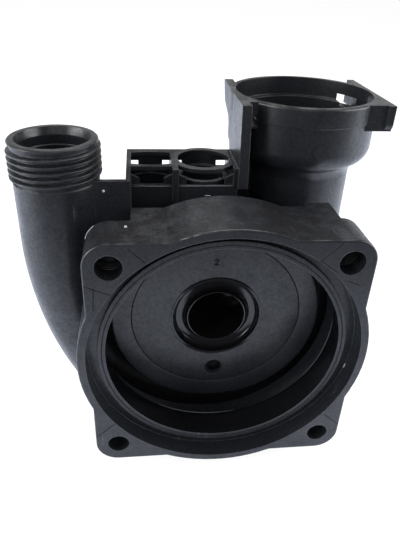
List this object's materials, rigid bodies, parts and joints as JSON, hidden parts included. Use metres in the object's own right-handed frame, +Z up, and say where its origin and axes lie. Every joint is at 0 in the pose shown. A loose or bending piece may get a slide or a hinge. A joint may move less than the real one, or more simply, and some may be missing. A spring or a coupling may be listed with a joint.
{
  "type": "volute pump casing",
  "caption": "Moulded plastic volute casing with a motor flange, an open impeller chamber, a threaded outlet pipe, a clip socket inlet and a frame with two clip ports.",
  "frame": {"origin": "on the pump axis, in the front face of the motor flange", "axes": "+Y along the pump axis into the casing, +X to the right of someone who looks at the flange, +Z up, the way that the outlet and the socket face"},
  "size_m": [0.1454, 0.098, 0.1471],
  "materials": {
    "moulded_plastic": "black glass-filled nylon, semi-gloss as moulded"
  },
  "bodies": {
    "root": {"pump_casing": "moulded_plastic"}
  },
  "joints": []
}
